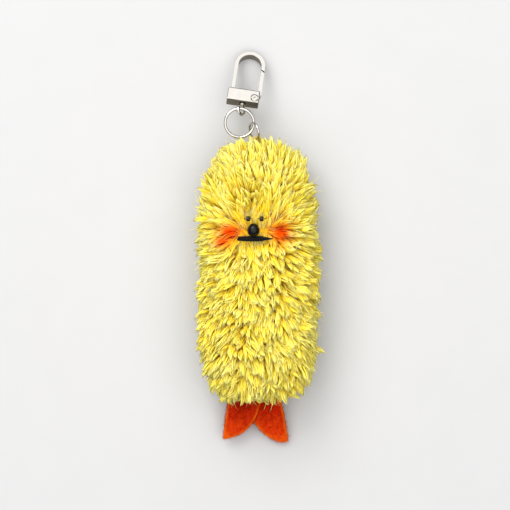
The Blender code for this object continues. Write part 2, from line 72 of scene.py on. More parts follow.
# Pile: the locks' spacing and size in mm, the strands in a lock and the rings in a strand
SPACING_FRONT = 1.45
SPACING_BACK = 2.0
LOCK_LENGTH = 9.4
LOCK_HEIGHT = 6.1
LOCK_RADIUS = 0.72
STRAND_WIDTH = 0.7
STRANDS = 9
RINGS = 6
PILE_PIECES = 9
FLOOR_CLEAR = 0.25
TAB_PLACE = (-1.2, 15.6)
PROUD_SHARE = 0.3

# Face
EYES = {"eye_left": -4.1, "eye_right": 1.2}
EYE_Y = 20.4
EYE_HOLE = 0.3
EYE_HALF_LENGTH = 0.82
MOUTH_LEFT = -8.2
MOUTH_RIGHT = 5.1
MOUTH_Y = 12.45
MOUTH_RADIUS = 1.08
BLUSHES = (((-11.6, 15.2), (4.6, 3.0)), ((-14.4, 11.2), (3.6, 2.4)), ((8.9, 14.8), (4.1, 4.3)))

# Tail
TAIL_HINGE = (0.0, -45.0, 11.1)
TAIL_DROOP = radians(17)
FELT = 1.4
LEAF_GAP = 0.3

# Rings
RING_CENTRE = (-7.6, 58.86, 14.17)
RING_RADIUS = 5.75
RING_WIRE = 0.6
RING_SPLIT = radians(116)
LINK_CENTRE = (-1.74, 55.44, 15.81)
LINK_RADIUS = 3.5
LINK_WIRE = 0.5
LINK_HEADING = 0.244
LINK_LEAN = 1.077
LINK_SLOPE = -0.045
LINK_SPLIT = radians(-60)
SPLIT_WIDTH = radians(3)

# Stuffed body: the most that its cloth may swell, the grid it is remeshed on, and the frames run
CLOTH_SWELL = 0.5
CLOTH_GRID = 1.7
CLOTH_FRAMES = 20

# The hook's frame
CLASP_TURN = radians(8.5)
CLASP_PITCH = radians(28.4)

# The photograph's framing, looking straight down
VIEW_CENTRE = (-1.4, 6.0)
VIEW_WIDTH = 204.0
VIEW_PLANE_Z = 15.0
LENS = 400.0
SENSOR = 36.0

# Light: the lamps in watts, and the white room's strength
KEY_POWER = 11.0
CARD_POWER = 3.0
ROOM_STRENGTH = 1.8

RANDOM = np.random.default_rng(455)


# ---------------------------------------------------------------- small helpers


def linear(red, green, blue):
    """A colour given in 0-255 display values, as linear light."""
    out = []
    for value in (red, green, blue):
        value = value / 255
        out.append(value / 12.92 if value <= 0.04045 else ((value + 0.055) / 1.055) ** 2.4)
    return (*out, 1.0)


def unit(vectors):
    length = np.linalg.norm(vectors, axis=-1, keepdims=True)
    return vectors / np.maximum(length, 1e-9)


def signed_power(value, power):
    return np.sign(value) * np.abs(value) ** power


def waves(points, scale, seed):
    """Smooth repeatable noise from -1 to 1 at points, with features about scale mm across."""
    source = np.random.default_rng(seed)
    total = np.zeros(len(points))
    for _ in range(7):
        direction = unit(source.normal(size=3))
        frequency = 2 * pi / (scale * source.uniform(1.2, 2.6))
        total += np.sin(points @ direction * frequency + source.uniform(0, 2 * pi))
    return np.clip(total / 3.2, -1, 1)


def add_object(name, data):
    obj = bpy.data.objects.new(name, data)
    bpy.context.scene.collection.objects.link(obj)
    return obj


def build_mesh(name, verts, faces, material, point_data=None, uv=None, smooth=True):
    """An object from arrays. verts are in mm, and faces is a list of arrays of equal-sided faces."""
    mesh = bpy.data.meshes.new(name)
    mesh.vertices.add(len(verts))
    mesh.vertices.foreach_set("co", (np.asarray(verts) * MM).astype(np.float32).ravel())
    corners = np.concatenate([f.ravel() for f in faces]).astype(np.int32)
    sides = np.concatenate([np.full(len(f), f.shape[1], np.int32) for f in faces])
    starts = np.concatenate([[0], np.cumsum(sides)[:-1]]).astype(np.int32)
    mesh.loops.add(len(corners))
    mesh.loops.foreach_set("vertex_index", corners)
    mesh.polygons.add(len(sides))
    mesh.polygons.foreach_set("loop_start", starts)
    mesh.polygons.foreach_set("loop_total", sides)
    mesh.update(calc_edges=True)
    mesh.validate()
    for key, values in (point_data or {}).items():
        attribute = mesh.attributes.new(key, "FLOAT", "POINT")
        attribute.data.foreach_set("value", values.astype(np.float32))
    if uv is not None:
        layer = mesh.uv_layers.new(name="OFBake")
        layer.data.foreach_set("uv", uv[corners].astype(np.float32).ravel())
    mesh.materials.append(material)
    if smooth:
        mesh.shade_smooth()
    return add_object(name, mesh)


# ---------------------------------------------------------------- materials


def fill_ramp(ramp, stops):
    while len(ramp.elements) < len(stops):
        ramp.elements.new(0.5)
    for element, (position, colour) in zip(ramp.elements, stops):
        element.position = position
        element.color = colour


class Nodes:
    """A material's node tree, with short calls to add and join nodes."""

    def __init__(self, name):
        self.material = bpy.data.materials.new(name)
        self.material.use_nodes = True
        self.tree = self.material.node_tree
        self.shader = self.tree.nodes["Principled BSDF"]

    def add(self, kind, inputs=None, **settings):
        node = self.tree.nodes.new(kind)
        for key, value in settings.items():
            setattr(node, key, value)
        for key, value in (inputs or {}).items():
            self.put(node.inputs[key], value)
        return node

    def put(self, socket, value):
        if isinstance(value, bpy.types.NodeSocket):
            self.tree.links.new(value, socket)
        else:
            socket.default_value = value

    def set(self, **values):
        for key, value in values.items():
            self.put(self.shader.inputs[key.replace("_", " ")], value)

    def noise(self, scale, detail=3.0, roughness=0.55, vector=None):
        node = self.add("ShaderNodeTexNoise", {"Scale": scale, "Detail": detail, "Roughness": roughness})
        self.put(node.inputs["Vector"], vector or self.place())
        return node.outputs["Fac"]

    def wave(self, scale, distortion, direction):
        inputs = {"Scale": scale, "Distortion": distortion, "Vector": self.place()}
        return self.add("ShaderNodeTexWave", inputs, bands_direction=direction).outputs["Fac"]

    def place(self, scale=None):
        """Object coordinates, stretched by scale."""
        where = self.add("ShaderNodeTexCoord").outputs["Object"]
        if scale is None:
            return where
        return self.add("ShaderNodeMapping", {"Vector": where, "Scale": scale}).outputs["Vector"]

    def attribute(self, name):
        return self.add("ShaderNodeAttribute", attribute_name=name).outputs["Fac"]

    def math(self, operation, first, second=0.0, clamp=False):
        node = self.add("ShaderNodeMath", operation=operation, use_clamp=clamp)
        self.put(node.inputs[0], first)
        self.put(node.inputs[1], second)
        return node.outputs[0]

    def ramp(self, factor, stops, interpolation="EASE"):
        node = self.add("ShaderNodeValToRGB", {"Fac": factor})
        node.color_ramp.interpolation = interpolation
        fill_ramp(node.color_ramp, stops)
        return node.outputs["Color"]

    def mix(self, factor, first, second, blend="MIX"):
        node = self.add("ShaderNodeMix", data_type="RGBA", blend_type=blend)
        self.put(node.inputs["Factor"], factor)
        self.put(node.inputs[6], first)
        self.put(node.inputs[7], second)
        return node.outputs[2]

    def bump(self, height, strength, distance):
        node = self.add(
            "ShaderNodeBump", {"Height": height, "Strength": strength, "Distance": distance}
        )
        return node.outputs["Normal"]


def grey(value):
    return (value, value, value, 1)


def fur_material():
    m = Nodes("pale_yellow_pile")
    painted_light_share = m.attribute("painted_light_share")
    tint = m.attribute("tint")
    # The yarn's yellow, painted darker and deeper gold towards the roots and paler towards the tips:
    # painted shade in the partings between locks
    strands = m.ramp(
        painted_light_share,
        [
            (0.0, linear(254, 200, 2)),
            (0.35, linear(254, 218, 22)),
            (0.65, linear(255, 238, 84)),
            (1.0, linear(255, 250, 160)),
        ],
        "LINEAR",
    )
    paler = m.mix(m.math("MULTIPLY", tint, 0.4, clamp=True), strands, linear(255, 244, 160))
    deeper = m.math("MULTIPLY", m.math("SUBTRACT", 0.0, tint), 0.45, clamp=True)
    tinted = m.mix(deeper, paler, linear(252, 212, 30))
    fibres = m.noise(2600.0, 2.0, 0.6)
    speckled = m.mix(m.ramp(fibres, [(0.35, grey(0)), (0.75, grey(0.12))]), tinted, linear(255, 248, 205))
    blushed = m.mix(m.attribute("blush"), speckled, linear(255, 84, 0))
    # A dark red line: the blush's dye, darkened as painted shade along a parting
    parting_shaded = m.mix(m.attribute("line"), blushed, linear(196, 12, 0))
    m.set(Base_Color=parting_shaded, Roughness=m.math("ADD", 0.55, m.math("MULTIPLY", fibres, 0.2)))
    m.set(Specular_IOR_Level=0.06)
    m.set(Subsurface_Weight=0.25, Subsurface_Radius=(1.0, 0.8, 0.25), Subsurface_Scale=0.0004)
    m.set(Normal=m.bump(fibres, 0.2, 0.0001))
    return m.material


def skin_material():
    m = Nodes("knit_backing")
    loops = m.noise(1500.0, 2.0, 0.5, m.place((1, 3, 1)))
    base = m.mix(loops, linear(240, 182, 8), linear(250, 206, 36))
    blushed = m.mix(m.attribute("blush"), base, linear(235, 60, 0))
    m.set(Base_Color=blushed, Roughness=0.9, Sheen_Weight=0.3, Specular_IOR_Level=0.2)
    m.set(Normal=m.bump(loops, 0.6, 0.0002))
    return m.material


def fill_material():
    m = Nodes("fibre_filling")
    fluff = m.noise(700.0, 6.0, 0.7)
    m.set(Base_Color=m.mix(fluff, linear(226, 222, 210), linear(250, 249, 244)), Roughness=0.95)
    m.set(Sheen_Weight=0.5, Normal=m.bump(fluff, 0.8, 0.0004))
    return m.material


def bead_material():
    m = Nodes("black_gloss_bead")
    mottle = m.noise(900.0, 3.0)
    m.set(Base_Color=m.mix(mottle, linear(3, 3, 4), linear(12, 11, 12)))
    m.set(Roughness=m.ramp(mottle, [(0.3, grey(0.16)), (0.8, grey(0.26))]))
    m.set(Specular_IOR_Level=0.25, Normal=m.bump(mottle, 0.06, 0.0001))
    return m.material


def eye_material():
    m = Nodes("black_glass_seed_bead")
    mottle = m.noise(1400.0, 2.0)
    m.set(Base_Color=m.mix(mottle, linear(10, 6, 4), linear(34, 22, 14)))
    m.set(Roughness=m.ramp(mottle, [(0.3, grey(0.12)), (0.8, grey(0.24))]))
    m.set(Specular_IOR_Level=0.35, Normal=m.bump(mottle, 0.05, 0.00005))
    return m.material


def yarn_material():
    m = Nodes("black_yarn")
    hairs = m.noise(3200.0, 4.0, 0.7, m.place((1, 4, 4)))
    m.set(Base_Color=m.mix(hairs, linear(4, 4, 5), linear(22, 21, 23)), Roughness=0.85)
    m.set(Sheen_Weight=0.08, Specular_IOR_Level=0.12, Normal=m.bump(hairs, 0.7, 0.0001))
    return m.material


def felt_material(name, shade):
    m = Nodes(name)
    cloud = m.noise(230.0, 5.0, 0.65)
    fibres = m.noise(2400.0, 4.0, 0.7, m.place((1, 2, 1)))
    out_of_fur_shadow = m.attribute("out_of_fur_shadow")
    # The felt's red darkens towards the hinge under the fur: painted shadow of the fur, with random
    # cloudy tone on top
    base = m.ramp(
        m.math("ADD", out_of_fur_shadow, m.math("MULTIPLY", m.math("SUBTRACT", cloud, 0.5), 0.75)),
        [
            (0.0, linear(150 * shade, 4, 0)),
            (0.4, linear(184 * shade, 24, 1)),
            (0.8, linear(204 * shade, 50, 4)),
            (1.0, linear(222 * shade, 82, 6)),
        ],
    )
    # A paler orange band along the cut edge: painted light, for light catching the edge and passing
    # through the felt
    edge_lightened = m.mix(m.attribute("painted_edge_light"), base, linear(228, 98, 6))
    light = m.ramp(fibres, [(0.48, grey(0)), (0.7, grey(0.5))])
    dark = m.ramp(fibres, [(0.3, grey(0.6)), (0.48, grey(0))])
    pale = m.mix(light, edge_lightened, linear(236, 104, 24))
    m.set(Base_Color=m.mix(dark, pale, linear(120, 8, 0)), Roughness=0.92)
    m.set(Specular_IOR_Level=0.06, Normal=m.bump(fibres, 0.8, 0.00025))
    return m.material


def nickel_material():
    m = Nodes("polished_nickel")
    haze = m.noise(420.0, 3.0)
    scratches = m.noise(1800.0, 2.0, 0.6, m.place((1, 0.06, 0.3)))
    m.set(Base_Color=m.mix(haze, linear(186, 182, 176), linear(200, 197, 191)), Metallic=1.0)
    worn = m.math("MULTIPLY", m.math("ADD", haze, scratches), 0.07)
    m.set(Roughness=worn, Normal=m.bump(scratches, 0.05, 0.00004))
    return m.material


def dark_sides_nickel_material():
    """Nickel with polished faces, and sides and edges painted darker as painted dark reflection, and a
    little rougher.
    """
    m = Nodes("painted_dark_sides_nickel")
    haze = m.noise(420.0, 3.0)
    face = (sin(CLASP_TURN) * sin(CLASP_PITCH), cos(CLASP_TURN) * sin(CLASP_PITCH), cos(CLASP_PITCH))
    normal = m.add("ShaderNodeTexCoord").outputs["Normal"]
    facing = m.add("ShaderNodeVectorMath", operation="DOT_PRODUCT")
    m.put(facing.inputs[0], normal)
    m.put(facing.inputs[1], face)
    straight = m.math("ABSOLUTE", facing.outputs["Value"])
    side = m.ramp(straight, [(0.72, grey(1)), (0.96, grey(0))])
    polished = m.mix(haze, linear(188, 184, 178), linear(202, 199, 193))
    # The sides' darker colour is painted dark reflection, not a tone of the metal
    painted_dark_reflection = m.mix(haze, linear(112, 106, 96), linear(132, 126, 116))
    m.set(Base_Color=m.mix(side, polished, painted_dark_reflection), Metallic=1.0)
    m.set(Roughness=m.math("ADD", m.math("MULTIPLY", haze, 0.1), m.math("MULTIPLY", side, 0.12)))
    return m.material


def steel_material():
    m = Nodes("spring_steel")
    drawn = m.noise(2600.0, 2.0, 0.6, m.place((0.2, 1, 1)))
    m.set(Base_Color=m.mix(drawn, linear(150, 150, 152), linear(190, 190, 192)), Metallic=1.0)
    m.set(Roughness=m.ramp(drawn, [(0.2, grey(0.2)), (0.8, grey(0.38))]))
    return m.material


def thread_material():
    m = Nodes("sewing_thread")
    twist = m.wave(900.0, 1.5, "DIAGONAL")
    m.set(Base_Color=m.mix(twist, linear(206, 158, 30), linear(238, 204, 84)), Roughness=0.8)
    m.set(Sheen_Weight=0.3, Normal=m.bump(twist, 0.5, 0.0001))
    return m.material


def tape_material():
    m = Nodes("woven_tape")
    warp, weft = m.wave(520.0, 0.4, "X"), m.wave(520.0, 0.4, "Y")
    weave = m.math("MULTIPLY", warp, weft)
    m.set(Base_Color=m.mix(weave, linear(214, 176, 60), linear(246, 224, 128)), Roughness=0.85)
    m.set(Sheen_Weight=0.3, Normal=m.bump(weave, 0.6, 0.00015))
    return m.material


def floor_material():
    m = Nodes("white_paper")
    grain = m.noise(60.0, 6.0, 0.6)
    m.set(Base_Color=m.mix(grain, linear(193, 193, 194), linear(197, 197, 198)), Roughness=0.9)
    m.set(Specular_IOR_Level=0.1, Normal=m.bump(grain, 0.05, 0.001))
    return m.material


# ---------------------------------------------------------------- plush form


def form_points(inset, back, around_steps, along_steps):
    """A grid of points on the plush's rounded tube, inset from its outer form."""
    turn = np.linspace(0, 2 * pi, around_steps, endpoint=False)
    tilt = np.linspace(-pi / 2, pi / 2, along_steps)
    turn, tilt = np.meshgrid(turn, tilt)
    along = np.sin(tilt)
    squareness = np.where(along > 0, TOP_SQUARENESS, BOTTOM_SQUARENESS)
    length = np.where(along > 0, BODY_TOP, BODY_BOTTOM) - inset
    across = np.maximum(np.cos(tilt), 0) ** (2 / squareness)
    bend = 2 / SECTION_SQUARENESS
    x = signed_power(np.cos(turn), bend) * across * (BODY_HALF_WIDTH - inset)
    z = signed_power(np.sin(turn), bend) * across * (BODY_HALF_HEIGHT - inset)
    y = signed_power(along, 2 / squareness) * length
    z = np.maximum(BODY_CENTRE_Z + z, back)
    return np.stack([x, y, z], -1).reshape(-1, 3)


def grid_faces(around_steps, along_steps):
    rows = np.arange(along_steps - 1)[:, None] * around_steps
    columns = np.arange(around_steps)[None, :]
    following = (columns + 1) % around_steps
    a, b = rows + columns, rows + following
    return np.stack([a, b, b + around_steps, a + around_steps], -1).reshape(-1, 4)


def form_normals(points):
    """Outward directions at points on the skin."""
    half_width, half_height = BODY_HALF_WIDTH - PILE_SIDE, BODY_HALF_HEIGHT - PILE_SIDE
    x = points[:, 0] / half_width
    z = (points[:, 2] - BODY_CENTRE_Z) / half_height
    top = points[:, 1] > 0
    length = np.where(top, BODY_TOP, BODY_BOTTOM) - PILE_SIDE
    y = points[:, 1] / length
    m = np.where(top, TOP_SQUARENESS, BOTTOM_SQUARENESS)
    n = SECTION_SQUARENESS
    round_about = np.maximum((np.abs(x) ** n + np.abs(z) ** n) ** (1 / n), 1e-6)
    inward = round_about ** (m - n)
    gradient = np.stack(
        [
            inward * signed_power(x, n - 1) / half_width,
            signed_power(y, m - 1) / length,
            inward * signed_power(z, n - 1) / half_height,
        ],
        -1,
    )
    flat = points[:, 2] < PILE_BACK + 0.02
    gradient[flat] = (0, 0, -1)
    return unit(gradient)


def scatter(spacing_at):
    """Evenly spread points on the skin, about spacing_at(points) mm apart, and their normals."""
    around_steps, along_steps = 220, 420
    grid = form_points(PILE_SIDE, PILE_BACK, around_steps, along_steps)
    quads = grid_faces(around_steps, along_steps)
    tris = np.concatenate([quads[:, [0, 1, 2]], quads[:, [0, 2, 3]]])
    a, b, c = (grid[tris[:, k]] for k in range(3))
    area = np.linalg.norm(np.cross(b - a, c - a), axis=1)
    pick = RANDOM.choice(len(tris), 70000, p=area / area.sum())
    u, v = RANDOM.random((2, len(pick), 1))
    fold = u + v > 1
    u, v = np.where(fold, 1 - u, u), np.where(fold, 1 - v, v)
    points = a[pick] + u * (b - a)[pick] + v * (c - a)[pick]
    spacing = spacing_at(points)
    cell = float(spacing.max())
    keys = np.floor(points / cell).astype(int)
    kept, cells = [], {}
    for index, (key, point, gap) in enumerate(zip(map(tuple, keys), points, spacing)):
        near = (
            other
            for i in (-1, 0, 1)
            for j in (-1, 0, 1)
            for k in (-1, 0, 1)
            for other in cells.get((key[0] + i, key[1] + j, key[2] + k), ())
        )
        if any(np.dot(point - o, point - o) < gap * gap for o in near):
            continue
        cells.setdefault(key, []).append(point)
        kept.append(index)
    return points[kept], form_normals(points[kept])


def blush_at(points):
    """How strongly the airbrushed cheeks show at points on the front of the face."""
    total = np.zeros(len(points))
    ragged = 1 + 0.22 * waves(points, 2.2, 31)
    for (x, y), (wide, high) in BLUSHES:
        away = ((points[:, 0] - x) / wide) ** 2 + ((points[:, 1] - y) / high) ** 2
        total = np.maximum(total, np.exp(-away * ragged * 0.95))
    return np.clip(total * 1.1, 0, 1) * np.clip((points[:, 2] - 18) / 6, 0, 1)


def parting_shade_at(points):
    """The blush's red, darkened along a parting that carries the mouth on to the left: painted shade in
    the parting.
    """
    along = np.exp(-(((points[:, 0] + 10.8) / 2.6) ** 4))
    across = np.exp(-(((points[:, 1] - 13.0) / 0.75) ** 2))
    return 0.85 * along * across * np.clip((points[:, 2] - 22) / 4, 0, 1)


# ---------------------------------------------------------------- pile


def pile_flow(points, normals):
    """The way that the locks are combed: away from the face, then down the body."""
    face_x = np.clip(points[:, 0], -6.5, 3.0)
    dx = points[:, 0] - face_x
    dy = points[:, 1] - 15.6
    below = np.clip(-dy / 25, 0, 1)
    fan = np.where(dy < 0, 1 + 0.9 * below, 1.0)
    front = np.stack([dx * fan + 0.05 * (points[:, 0] + 2) * below, dy, np.zeros(len(points))], -1)
    front = unit(front + 1e-6)
    front[:, 2] = -0.25
    # The back is combed straight down
    back = np.stack([0.02 * points[:, 0], -np.ones(len(points)), np.zeros(len(points))], -1)
    share = np.clip((normals[:, 2:3] + 0.55) / 0.5, 0, 1)
    flow = front * share + back * (1 - share)
    swirl = np.stack([waves(points, 8.0, 5), waves(points, 8.0, 6), waves(points, 8.0, 7)], -1)
    flow = flow + 0.38 * swirl + RANDOM.normal(scale=0.17, size=flow.shape)
    return flow - normals * np.sum(flow * normals, 1, keepdims=True)


def pile_height(points, normals):
    """How far the locks may stand off the skin: low in the face's dish, and under the back."""
    away = np.hypot(points[:, 0] - DISH_CENTRE[0], points[:, 1] - DISH_CENTRE[1])
    inside = DISH_RADIUS**2 - np.minimum(away, DISH_RADIUS - 0.1) ** 2
    dish = DISH_CENTRE[2] - np.sqrt(inside)
    over_face = (normals[:, 2] > 0.3) & (away < DISH_RADIUS)
    height = np.full(len(points), LOCK_HEIGHT)
    height = np.where(over_face, np.clip(dish - points[:, 2], 0.7, LOCK_HEIGHT), height)
    below = np.clip((-normals[:, 2] - 0.35) / 0.5, 0, 1)
    return height * (1 - below) + 1.6 * below


def clear_neighbours(verts, roots):
    """Keeps the pile off the floor and off the tail."""
    x, y, z = verts[:, 0], verts[:, 1], verts[:, 2]
    over = z - FLOOR_CLEAR
    soft = 1.1
    z = FLOOR_CLEAR + 0.5 * (over + np.sqrt(over**2 + soft**2))
    near_tail = (y < TAIL_HINGE[1] + 1) & (np.abs(x) < 14.5)
    plane = TAIL_HINGE[2] + np.tan(TAIL_DROOP) * (y - TAIL_HINGE[1])
    room = (FELT + LEAF_GAP / 2 + 0.35) / cos(TAIL_DROOP)
    above = roots[:, 2] > TAIL_HINGE[2]
    z = np.where(near_tail & above, np.maximum(z, plane + room + 0.15 * (z - plane)), z)
    z = np.where(near_tail & ~above, np.minimum(z, plane - room), z)
    return np.stack([x, y, z], -1)


def strand_mesh(paths, sides, outs, widths, flat=0.55):
    """Closed three-sided tapering strands. paths is (strands, rings, 3)."""
    count, rings = paths.shape[:2]
    body = rings - 1
    left = paths[:, :body] - sides[:, :body] * widths[:, :body, None] / 2
    right = paths[:, :body] + sides[:, :body] * widths[:, :body, None] / 2
    ridge = paths[:, :body] + outs[:, :body] * widths[:, :body, None] * flat
    rows = np.stack([left, ridge, right], 2).reshape(count, body * 3, 3)
    verts = np.concatenate([rows, paths[:, body:]], 1)
    per = body * 3 + 1
    quads, tris = [], [(0, 2, 1)]
    for ring in range(body - 1):
        for corner in range(3):
            a = ring * 3 + corner
            b = ring * 3 + (corner + 1) % 3
            quads.append((a, b, b + 3, a + 3))
    last = (body - 1) * 3
    for corner in range(3):
        tris.append((last + corner, last + (corner + 1) % 3, per - 1))
    base = (np.arange(count) * per)[:, None, None]
    quads = (base + np.array(quads)[None]).reshape(-1, 4)
    tris = (base + np.array(tris)[None]).reshape(-1, 3)
    return verts.reshape(-1, 3), [quads, tris], per


def strand_uv(count, rings):
    """A tall narrow cell of the UV square for each strand, root at the bottom."""
    columns = max(1, int(np.ceil(sqrt(count * 3.4))))
    rows = int(np.ceil(count / columns))
    index = np.arange(count)
    left = (index % columns) / columns
    low = (index // columns) / rows
    body = rings - 1
    across = np.tile([0.2, 0.5, 0.8], body)
    along = np.repeat(np.arange(body) / body, 3)
    across = np.append(across, 0.5)
    along = np.append(along, 1.0)
    u = left[:, None] + across[None] / columns
    v = low[:, None] + (0.08 + 0.84 * along[None]) / rows
    return np.stack([u, v], -1).reshape(-1, 2)


def make_pile(material):
    def spacing_at(points):
        under = np.clip((7.0 - points[:, 2]) / 3, 0, 1)
        return SPACING_FRONT + (SPACING_BACK - SPACING_FRONT) * under

    roots, normals = scatter(spacing_at)
    in_tail = (
        (roots[:, 1] < -40)
        & (np.abs(roots[:, 0]) < 12.5)
        & (np.abs(roots[:, 2] - 10.8) < 2.6)
    )
    in_tab = (roots[:, 1] > 38) & (np.hypot(roots[:, 0] - TAB_PLACE[0], roots[:, 2] - TAB_PLACE[1]) < 2.2)
    beads = np.hypot((roots[:, 0] + 2.0) / 2.6, (roots[:, 1] - 16.0) / 2.9) < 1
    mouth = (np.abs(roots[:, 1] - MOUTH_Y) < 0.8) & (roots[:, 0] > -7.8) & (roots[:, 0] < 4.6)
    beads |= mouth
    for x in EYES.values():
        beads |= np.hypot(roots[:, 0] - x, roots[:, 1] - EYE_Y) < 1.0
    beads &= normals[:, 2] > 0.5
    keep = ~(in_tail | in_tab | beads)
    roots, normals = roots[keep], normals[keep]
    count = len(roots)
    flow = pile_flow(roots, normals)
    pace = np.linalg.norm(flow, axis=1)
    height = pile_height(roots, normals)
    shape = height / LOCK_HEIGHT
    length = LOCK_LENGTH * (0.34 + 0.66 * shape**0.8) * (1 + 0.13 * RANDOM.normal(size=count))
    length *= 1 + 0.10 * waves(roots, 9.0, 11)
    height = height * (1 + 0.12 * RANDOM.normal(size=count) + 0.16 * waves(roots, 7.0, 12))
    proud = (RANDOM.random(count) < PROUD_SHARE) & (shape > 0.9) & (normals[:, 2] > -0.3)
    stand = RANDOM.uniform(0.1, 0.35, count) * np.where(normals[:, 2] > 0.3, 1.0, 0.6)
    height = np.where(proud, height * (1 + stand), height)
    bottom = np.clip((-roots[:, 1] - 38) / 8, 0, 1) * (normals[:, 1] < -0.4)
    over_tail = np.exp(-((roots[:, 0] / 10.0) ** 4))
    length *= 1 - 0.22 * bottom * over_tail
    height = height + 1.2 * bottom * (1 - over_tail)
    reach = np.sqrt(np.maximum(length**2 - height**2, (0.35 * length) ** 2))
    along = unit(flow) * np.minimum(1, pace / 0.45)[:, None]
    across = unit(np.cross(normals, along))
    curl = across * RANDOM.normal(scale=0.8, size=(count, 1)) * shape[:, None]
    wag = across * RANDOM.normal(scale=0.45, size=(count, 1)) * shape[:, None]

    steps = np.linspace(0, 1, RINGS)
    rise = np.sin(steps * pi / 2) ** 0.9
    run = steps**1.25
    droop = steps**3
    root = roots - normals * 0.5
    centre = (
        root[:, None]
        + normals[:, None] * (height[:, None] * rise[None])[..., None]
        + along[:, None] * (reach[:, None] * run[None])[..., None]
        + curl[:, None] * (1.3 * steps**2)[None, :, None]
        + wag[:, None] * np.sin(steps * pi * 1.3)[None, :, None]
    )
    centre[..., 2] -= 0.55 * droop[None] * np.clip(normals[:, 2:3] + 0.4, 0, 1)
    tangent = unit(np.gradient(centre, axis=1))

    strands = np.where(normals[:, 2] < -0.6, STRANDS - 2, STRANDS)
    owner = np.repeat(np.arange(count), strands)
    total = len(owner)
    first = unit(np.cross(tangent[owner], normals[owner][:, None] + 0.01))
    second = unit(np.cross(first, tangent[owner]))
    number = np.arange(total) - np.repeat(np.cumsum(strands) - strands, strands)
    angle = 2 * pi * number / strands[owner] + np.repeat(RANDOM.uniform(0, 2 * pi, count), strands)
    angle = angle[:, None] + RANDOM.uniform(-0.5, 0.9, (total, 1)) * steps[None]
    around = np.cos(angle)[..., None] * first + 0.72 * np.sin(angle)[..., None] * second
    gather = (0.75 + 0.5 * np.sin(pi * np.minimum(steps * 1.15, 1))) * (1 - 0.8 * steps**4)
    girth = LOCK_RADIUS * (0.7 + 0.3 * shape) * RANDOM.uniform(0.75, 1.25, count)
    loose = RANDOM.uniform(0.7, 1.25, total)
    offset = (girth[owner] * loose)[:, None] * gather[None]
    short = RANDOM.uniform(0.8, 1.04, total)
    path = centre[owner]
    path = path[:, :1] + (path - path[:, :1]) * short[:, None, None]
    path = path + around * offset[..., None]
    side = unit(np.cross(around, tangent[owner]))
    taper = (1 - 0.6 * steps**5) * (0.85 + 0.3 * np.sin(pi * steps))
    width = STRAND_WIDTH * RANDOM.uniform(0.75, 1.25, total)[:, None] * taper[None]
    width = width * (0.75 + 0.25 * shape[owner])[:, None]

    verts, faces, per = strand_mesh(path, side, unit(around), width, 0.3)
    vert_root = np.repeat(roots[owner], per, axis=0)
    verts = clear_neighbours(verts, vert_root)
    ring = np.append(np.repeat(steps[:-1], 3), 1.0)
    lock_tint = RANDOM.normal(scale=0.5, size=count) + 0.4 * waves(roots, 10.0, 21)
    tint = lock_tint[owner] + RANDOM.normal(scale=0.28, size=total)
    # Short locks, in the face's dish and under the back, stay a deeper, darker gold: painted shade in
    # those hollows
    painted_lock_light = 0.25 + 0.75 * shape
    # painted_light_share runs from the painted shade at each root to the pale tip
    data = {
        "painted_light_share": np.tile(ring, total) * np.repeat(painted_lock_light[owner], per),
        "tint": np.repeat(np.clip(tint, -1, 1), per),
        "blush": blush_at(verts),
        "line": parting_shade_at(verts),
    }

    # Split into pieces from the head to the tail, so that each stays light
    order = np.argsort(-roots[:, 1] + 1000 * (normals[:, 2] < -0.6))
    piece_of = np.empty(count, int)
    piece_of[order] = np.arange(count) * PILE_PIECES // count
    quads, tris = faces
    quads = quads.reshape(total, -1, 4)
    tris = tris.reshape(total, -1, 3)
    for piece in range(PILE_PIECES):
        chosen = np.flatnonzero(piece_of[owner] == piece)
        picked = (chosen[:, None] * per + np.arange(per)[None]).ravel()
        renumber = np.zeros(len(verts), int)
        renumber[picked] = np.arange(len(picked))
        own_faces = [renumber[quads[chosen].reshape(-1, 4)], renumber[tris[chosen].reshape(-1, 3)]]
        obj = build_mesh(
            f"pile_{piece + 1}",
            verts[picked],
            own_faces,
            material,
            {key: values[picked] for key, values in data.items()},
            strand_uv(len(chosen), RINGS),
        )
        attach(obj, "plush")
    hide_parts("fur_front")
    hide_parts("fur_back")


def loose_hairs(name, material, roots, normals, flow, height, length, width, shade):
    """Single fine hairs, for the short fuzz of the face and the soft edge of the pile."""
    count = len(roots)
    steps = np.linspace(0, 1, RINGS)
    along = unit(flow)
    reach = np.sqrt(np.maximum(length**2 - height**2, (0.3 * length) ** 2))
    across = unit(np.cross(normals, along))
    wag = across * RANDOM.normal(scale=0.12, size=(count, 1)) * length[:, None]
    path = (
        (roots - normals * 0.3)[:, None]
        + normals[:, None] * (height[:, None] * (np.sin(steps * pi / 2) ** 0.9)[None])[..., None]
        + along[:, None] * (reach[:, None] * (steps**1.3)[None])[..., None]
        + wag[:, None] * np.sin(steps * pi * 1.2)[None, :, None]
    )
    tangent = unit(np.gradient(path, axis=1))
    side = unit(np.cross(tangent, normals[:, None] + 0.01))
    out = np.cross(side, tangent)
    widths = width * RANDOM.uniform(0.7, 1.3, (count, 1)) * (1 - 0.6 * steps**3)[None]
    verts, faces, per = strand_mesh(path, side, out, widths)
    verts = clear_neighbours(verts, np.repeat(roots, per, axis=0))
    ring = np.append(np.repeat(steps[:-1], 3), 1.0)
    # The hairs darken from tip to root as painted shade; shade sets how pale their roots stay
    data = {
        "painted_light_share": shade + (1 - shade) * np.tile(ring, count),
        "tint": np.repeat(np.clip(RANDOM.normal(scale=0.5, size=count), -1, 1), per),
        "blush": blush_at(verts),
        "line": parting_shade_at(verts),
    }
    obj = build_mesh(name, verts, faces, material, data, strand_uv(count, RINGS))
    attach(obj, "plush")


